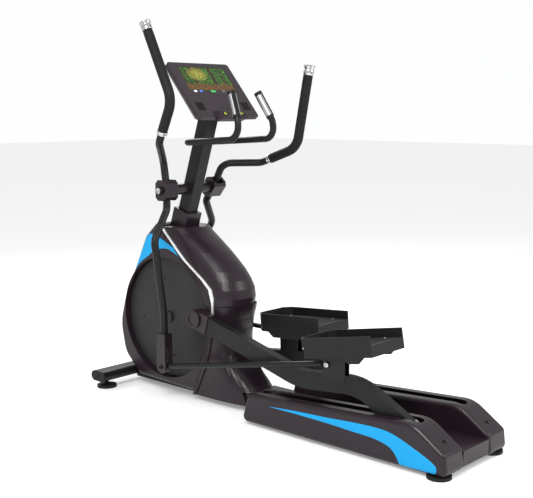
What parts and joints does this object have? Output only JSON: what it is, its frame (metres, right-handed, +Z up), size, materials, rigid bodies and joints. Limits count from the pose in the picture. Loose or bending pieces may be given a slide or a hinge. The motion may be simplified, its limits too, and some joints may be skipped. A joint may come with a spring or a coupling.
{
  "type": "elliptical trainer",
  "caption": "Front-drive elliptical trainer with paired pedal arms on rear roller tracks, link rods, swinging foam-gripped handles, a fixed pulse bar and a tilted console.",
  "frame": {"origin": "on the floor, under the middle of the whole machine's box in its stored pose", "axes": "+X is the user's right, +Y is forward towards the console, +Z is up"},
  "size_m": [0.6274, 2.0886, 1.7395],
  "materials": {
    "frame_steel": "satin black powder coat",
    "stabilizer_paint": "satin black paint",
    "end_cap": "matt",
    "foot_rubber": "matt",
    "track_aluminium": "brushed",
    "cover_gloss": "gloss purple-black",
    "trim_silver": "silver paint",
    "shaft_steel": "ground",
    "pulley_plastic": "matt",
    "disc_plastic": "fine texture",
    "belt_rubber": "matt",
    "flywheel_iron": "turned",
    "brake_steel": "paint",
    "console_plastic": "satin purple-grey",
    "screen_glass": "clear over a display",
    "key_green": "satin",
    "bar_black": "satin",
    "sleeve_plastic": "satin",
    "contact_steel": "satin",
    "arm_black": "satin black powder coat",
    "bracket_black": "satin",
    "joint_cover": "gloss purple-black",
    "pin_steel": "ground",
    "tray_plastic": "grained",
    "roller_nylon": "satin",
    "grip_foam": "closed-cell foam",
    "fitting_chrome": "polished"
  },
  "bodies": {
    "base": {"base_frame": "frame_steel", "front_stabilizer": "stabilizer_paint", "stabilizer_end_caps": "end_cap", "levelling_feet": "foot_rubber", "roller_tracks": "track_aluminium", "left_rail_cover": "cover_gloss", "right_rail_cover": "cover_gloss", "middle_cover": "cover_gloss", "left_side_shell": "cover_gloss", "right_side_shell": "cover_gloss", "rear_hood": "cover_gloss", "lower_rear_cover": "cover_gloss", "mast_boot": "cover_gloss", "silver_trims": "trim_silver", "mast": "frame_steel", "swing_axle": "frame_steel", "bearings": "shaft_steel", "drive_belt": "belt_rubber", "magnet_brake": "brake_steel", "console_back": "console_plastic", "console_bezel": "console_plastic", "console_screen": "screen_glass", "pulse_bar": "bar_black", "pulse_grips": "sleeve_plastic", "pulse_plates": "contact_steel"},
    "crank": {"crank_axle": "shaft_steel", "crank_pulley": "pulley_plastic", "crank_discs": "disc_plastic"},
    "flywheel": {"flywheel": "flywheel_iron", "flywheel_axle": "shaft_steel"},
    "left_key_cap": {"left_key": "key_green"},
    "right_key_cap": {"right_key": "key_green"},
    "left_carriage": {"left_roller_axle": "pin_steel"},
    "left_roller_pair": {"left_rollers": "roller_nylon"},
    "left_arm": {"left_pedal_arm": "arm_black", "left_crank_boot": "joint_cover", "left_crank_pin": "pin_steel", "left_pedal_bracket": "bracket_black"},
    "left_pedal": {"left_pedal_tray": "tray_plastic"},
    "left_bush": {"left_rod_bush": "pin_steel"},
    "left_rod": {"left_link_rod": "arm_black"},
    "left_handle": {"left_swing_arm": "arm_black", "left_swing_hub": "joint_cover", "left_foam_grip": "grip_foam", "left_grip_fittings": "fitting_chrome", "left_rod_clevis": "joint_cover"},
    "right_carriage": {"right_roller_axle": "pin_steel"},
    "right_roller_pair": {"right_rollers": "roller_nylon"},
    "right_arm": {"right_pedal_arm": "arm_black", "right_crank_boot": "joint_cover", "right_crank_pin": "pin_steel", "right_pedal_bracket": "bracket_black"},
    "right_pedal": {"right_pedal_tray": "tray_plastic"},
    "right_bush": {"right_rod_bush": "pin_steel"},
    "right_rod": {"right_link_rod": "arm_black"},
    "right_handle": {"right_swing_arm": "arm_black", "right_swing_hub": "joint_cover", "right_foam_grip": "grip_foam", "right_grip_fittings": "fitting_chrome", "right_rod_clevis": "joint_cover"}
  },
  "joints": [
    {"name": "crank_turn", "type": "hinge", "parent": "base", "child": "crank", "pos_m": [0, 0.58609, 0.37], "axis": [1, 0, 0], "continuous": true},
    {"name": "flywheel_turn", "type": "hinge", "parent": "base", "child": "flywheel", "pos_m": [0, 0.48909, 0.52], "axis": [1, 0, 0], "continuous": true},
    {"name": "left_key_press", "type": "slide", "parent": "base", "child": "left_key_cap", "axis": [0, 0.7604, -0.6494], "range_m": [0, 0.0015], "stiffness_N_per_m": 400},
    {"name": "right_key_press", "type": "slide", "parent": "base", "child": "right_key_cap", "axis": [0, 0.7604, -0.6494], "range_m": [0, 0.0015], "stiffness_N_per_m": 400},
    {"name": "left_stride", "type": "slide", "parent": "base", "child": "left_carriage", "axis": [0, 0.9981, -0.061], "range_m": [0, 0.50396]},
    {"name": "right_stride", "type": "slide", "parent": "base", "child": "right_carriage", "axis": [0, 0.9981, -0.061], "range_m": [-0.50396, 0]},
    {"name": "left_tilt", "type": "hinge", "parent": "left_carriage", "child": "left_arm", "pos_m": [0, -0.83091, 0.14901], "axis": [1, 0, 0], "range_deg": [-7.5, 12]},
    {"name": "left_bush_turn", "type": "hinge", "parent": "left_arm", "child": "left_bush", "pos_m": [0, -0.49891, 0.35501], "axis": [1, 0, 0], "range_deg": [-16.09, 10.08]},
    {"name": "left_pedal_pitch", "type": "hinge", "parent": "left_arm", "child": "left_pedal", "pos_m": [0, -0.59637, 0.43181], "axis": [1, 0, 0], "range_deg": [0, 8.1]},
    {"name": "left_rod_turn", "type": "hinge", "parent": "left_bush", "child": "left_rod", "pos_m": [0, -0.49891, 0.35501], "axis": [1, 0, 0], "range_deg": [-0.05, 10.79]},
    {"name": "left_roller_turn", "type": "hinge", "parent": "left_carriage", "child": "left_roller_pair", "pos_m": [0, -0.83091, 0.14901], "axis": [1, 0, 0], "continuous": true},
    {"name": "left_handle_swing", "type": "hinge", "parent": "base", "child": "left_handle", "pos_m": [0, 0.53309, 0.984], "axis": [1, 0, 0], "range_deg": [-0.05, 39.42]},
    {"name": "right_tilt", "type": "hinge", "parent": "right_carriage", "child": "right_arm", "pos_m": [0, -0.32789, 0.11825], "axis": [1, 0, 0], "range_deg": [-7.5, 14]},
    {"name": "right_bush_turn", "type": "hinge", "parent": "right_arm", "child": "right_bush", "pos_m": [0, 0.01195, 0.31105], "axis": [1, 0, 0], "range_deg": [-18.77, 10.08]},
    {"name": "right_pedal_pitch", "type": "hinge", "parent": "right_arm", "child": "right_pedal", "pos_m": [0, -0.08242, 0.39161], "axis": [1, 0, 0], "range_deg": [-8.1, 0]},
    {"name": "right_rod_turn", "type": "hinge", "parent": "right_bush", "child": "right_rod", "pos_m": [0, 0.01195, 0.31105], "axis": [1, 0, 0], "range_deg": [-10.88, 0.05]},
    {"name": "right_roller_turn", "type": "hinge", "parent": "right_carriage", "child": "right_roller_pair", "pos_m": [0, -0.32789, 0.11825], "axis": [1, 0, 0], "continuous": true},
    {"name": "right_handle_swing", "type": "hinge", "parent": "base", "child": "right_handle", "pos_m": [0, 0.53309, 0.984], "axis": [1, 0, 0], "range_deg": [-39.42, 0.05]}
  ],
  "couplings": [
    {"joint": "flywheel_turn", "follows": "crank_turn", "ratio": 4.6429},
    {"joint": "right_stride", "follows": "left_stride", "ratio": -1},
    {"joint": "left_bush_turn", "follows": "left_tilt", "ratio": -1.337},
    {"joint": "left_rod_turn", "follows": "left_stride", "rad_per_m": 0.37213},
    {"joint": "left_roller_turn", "follows": "left_stride", "rad_per_m": -36.364},
    {"joint": "left_handle_swing", "follows": "left_stride", "rad_per_m": 1.3636},
    {"joint": "right_bush_turn", "follows": "right_tilt", "ratio": -1.337},
    {"joint": "right_rod_turn", "follows": "left_stride", "rad_per_m": -0.37525},
    {"joint": "right_roller_turn", "follows": "left_stride", "rad_per_m": 36.364},
    {"joint": "right_handle_swing", "follows": "left_stride", "rad_per_m": -1.3636}
  ]
}
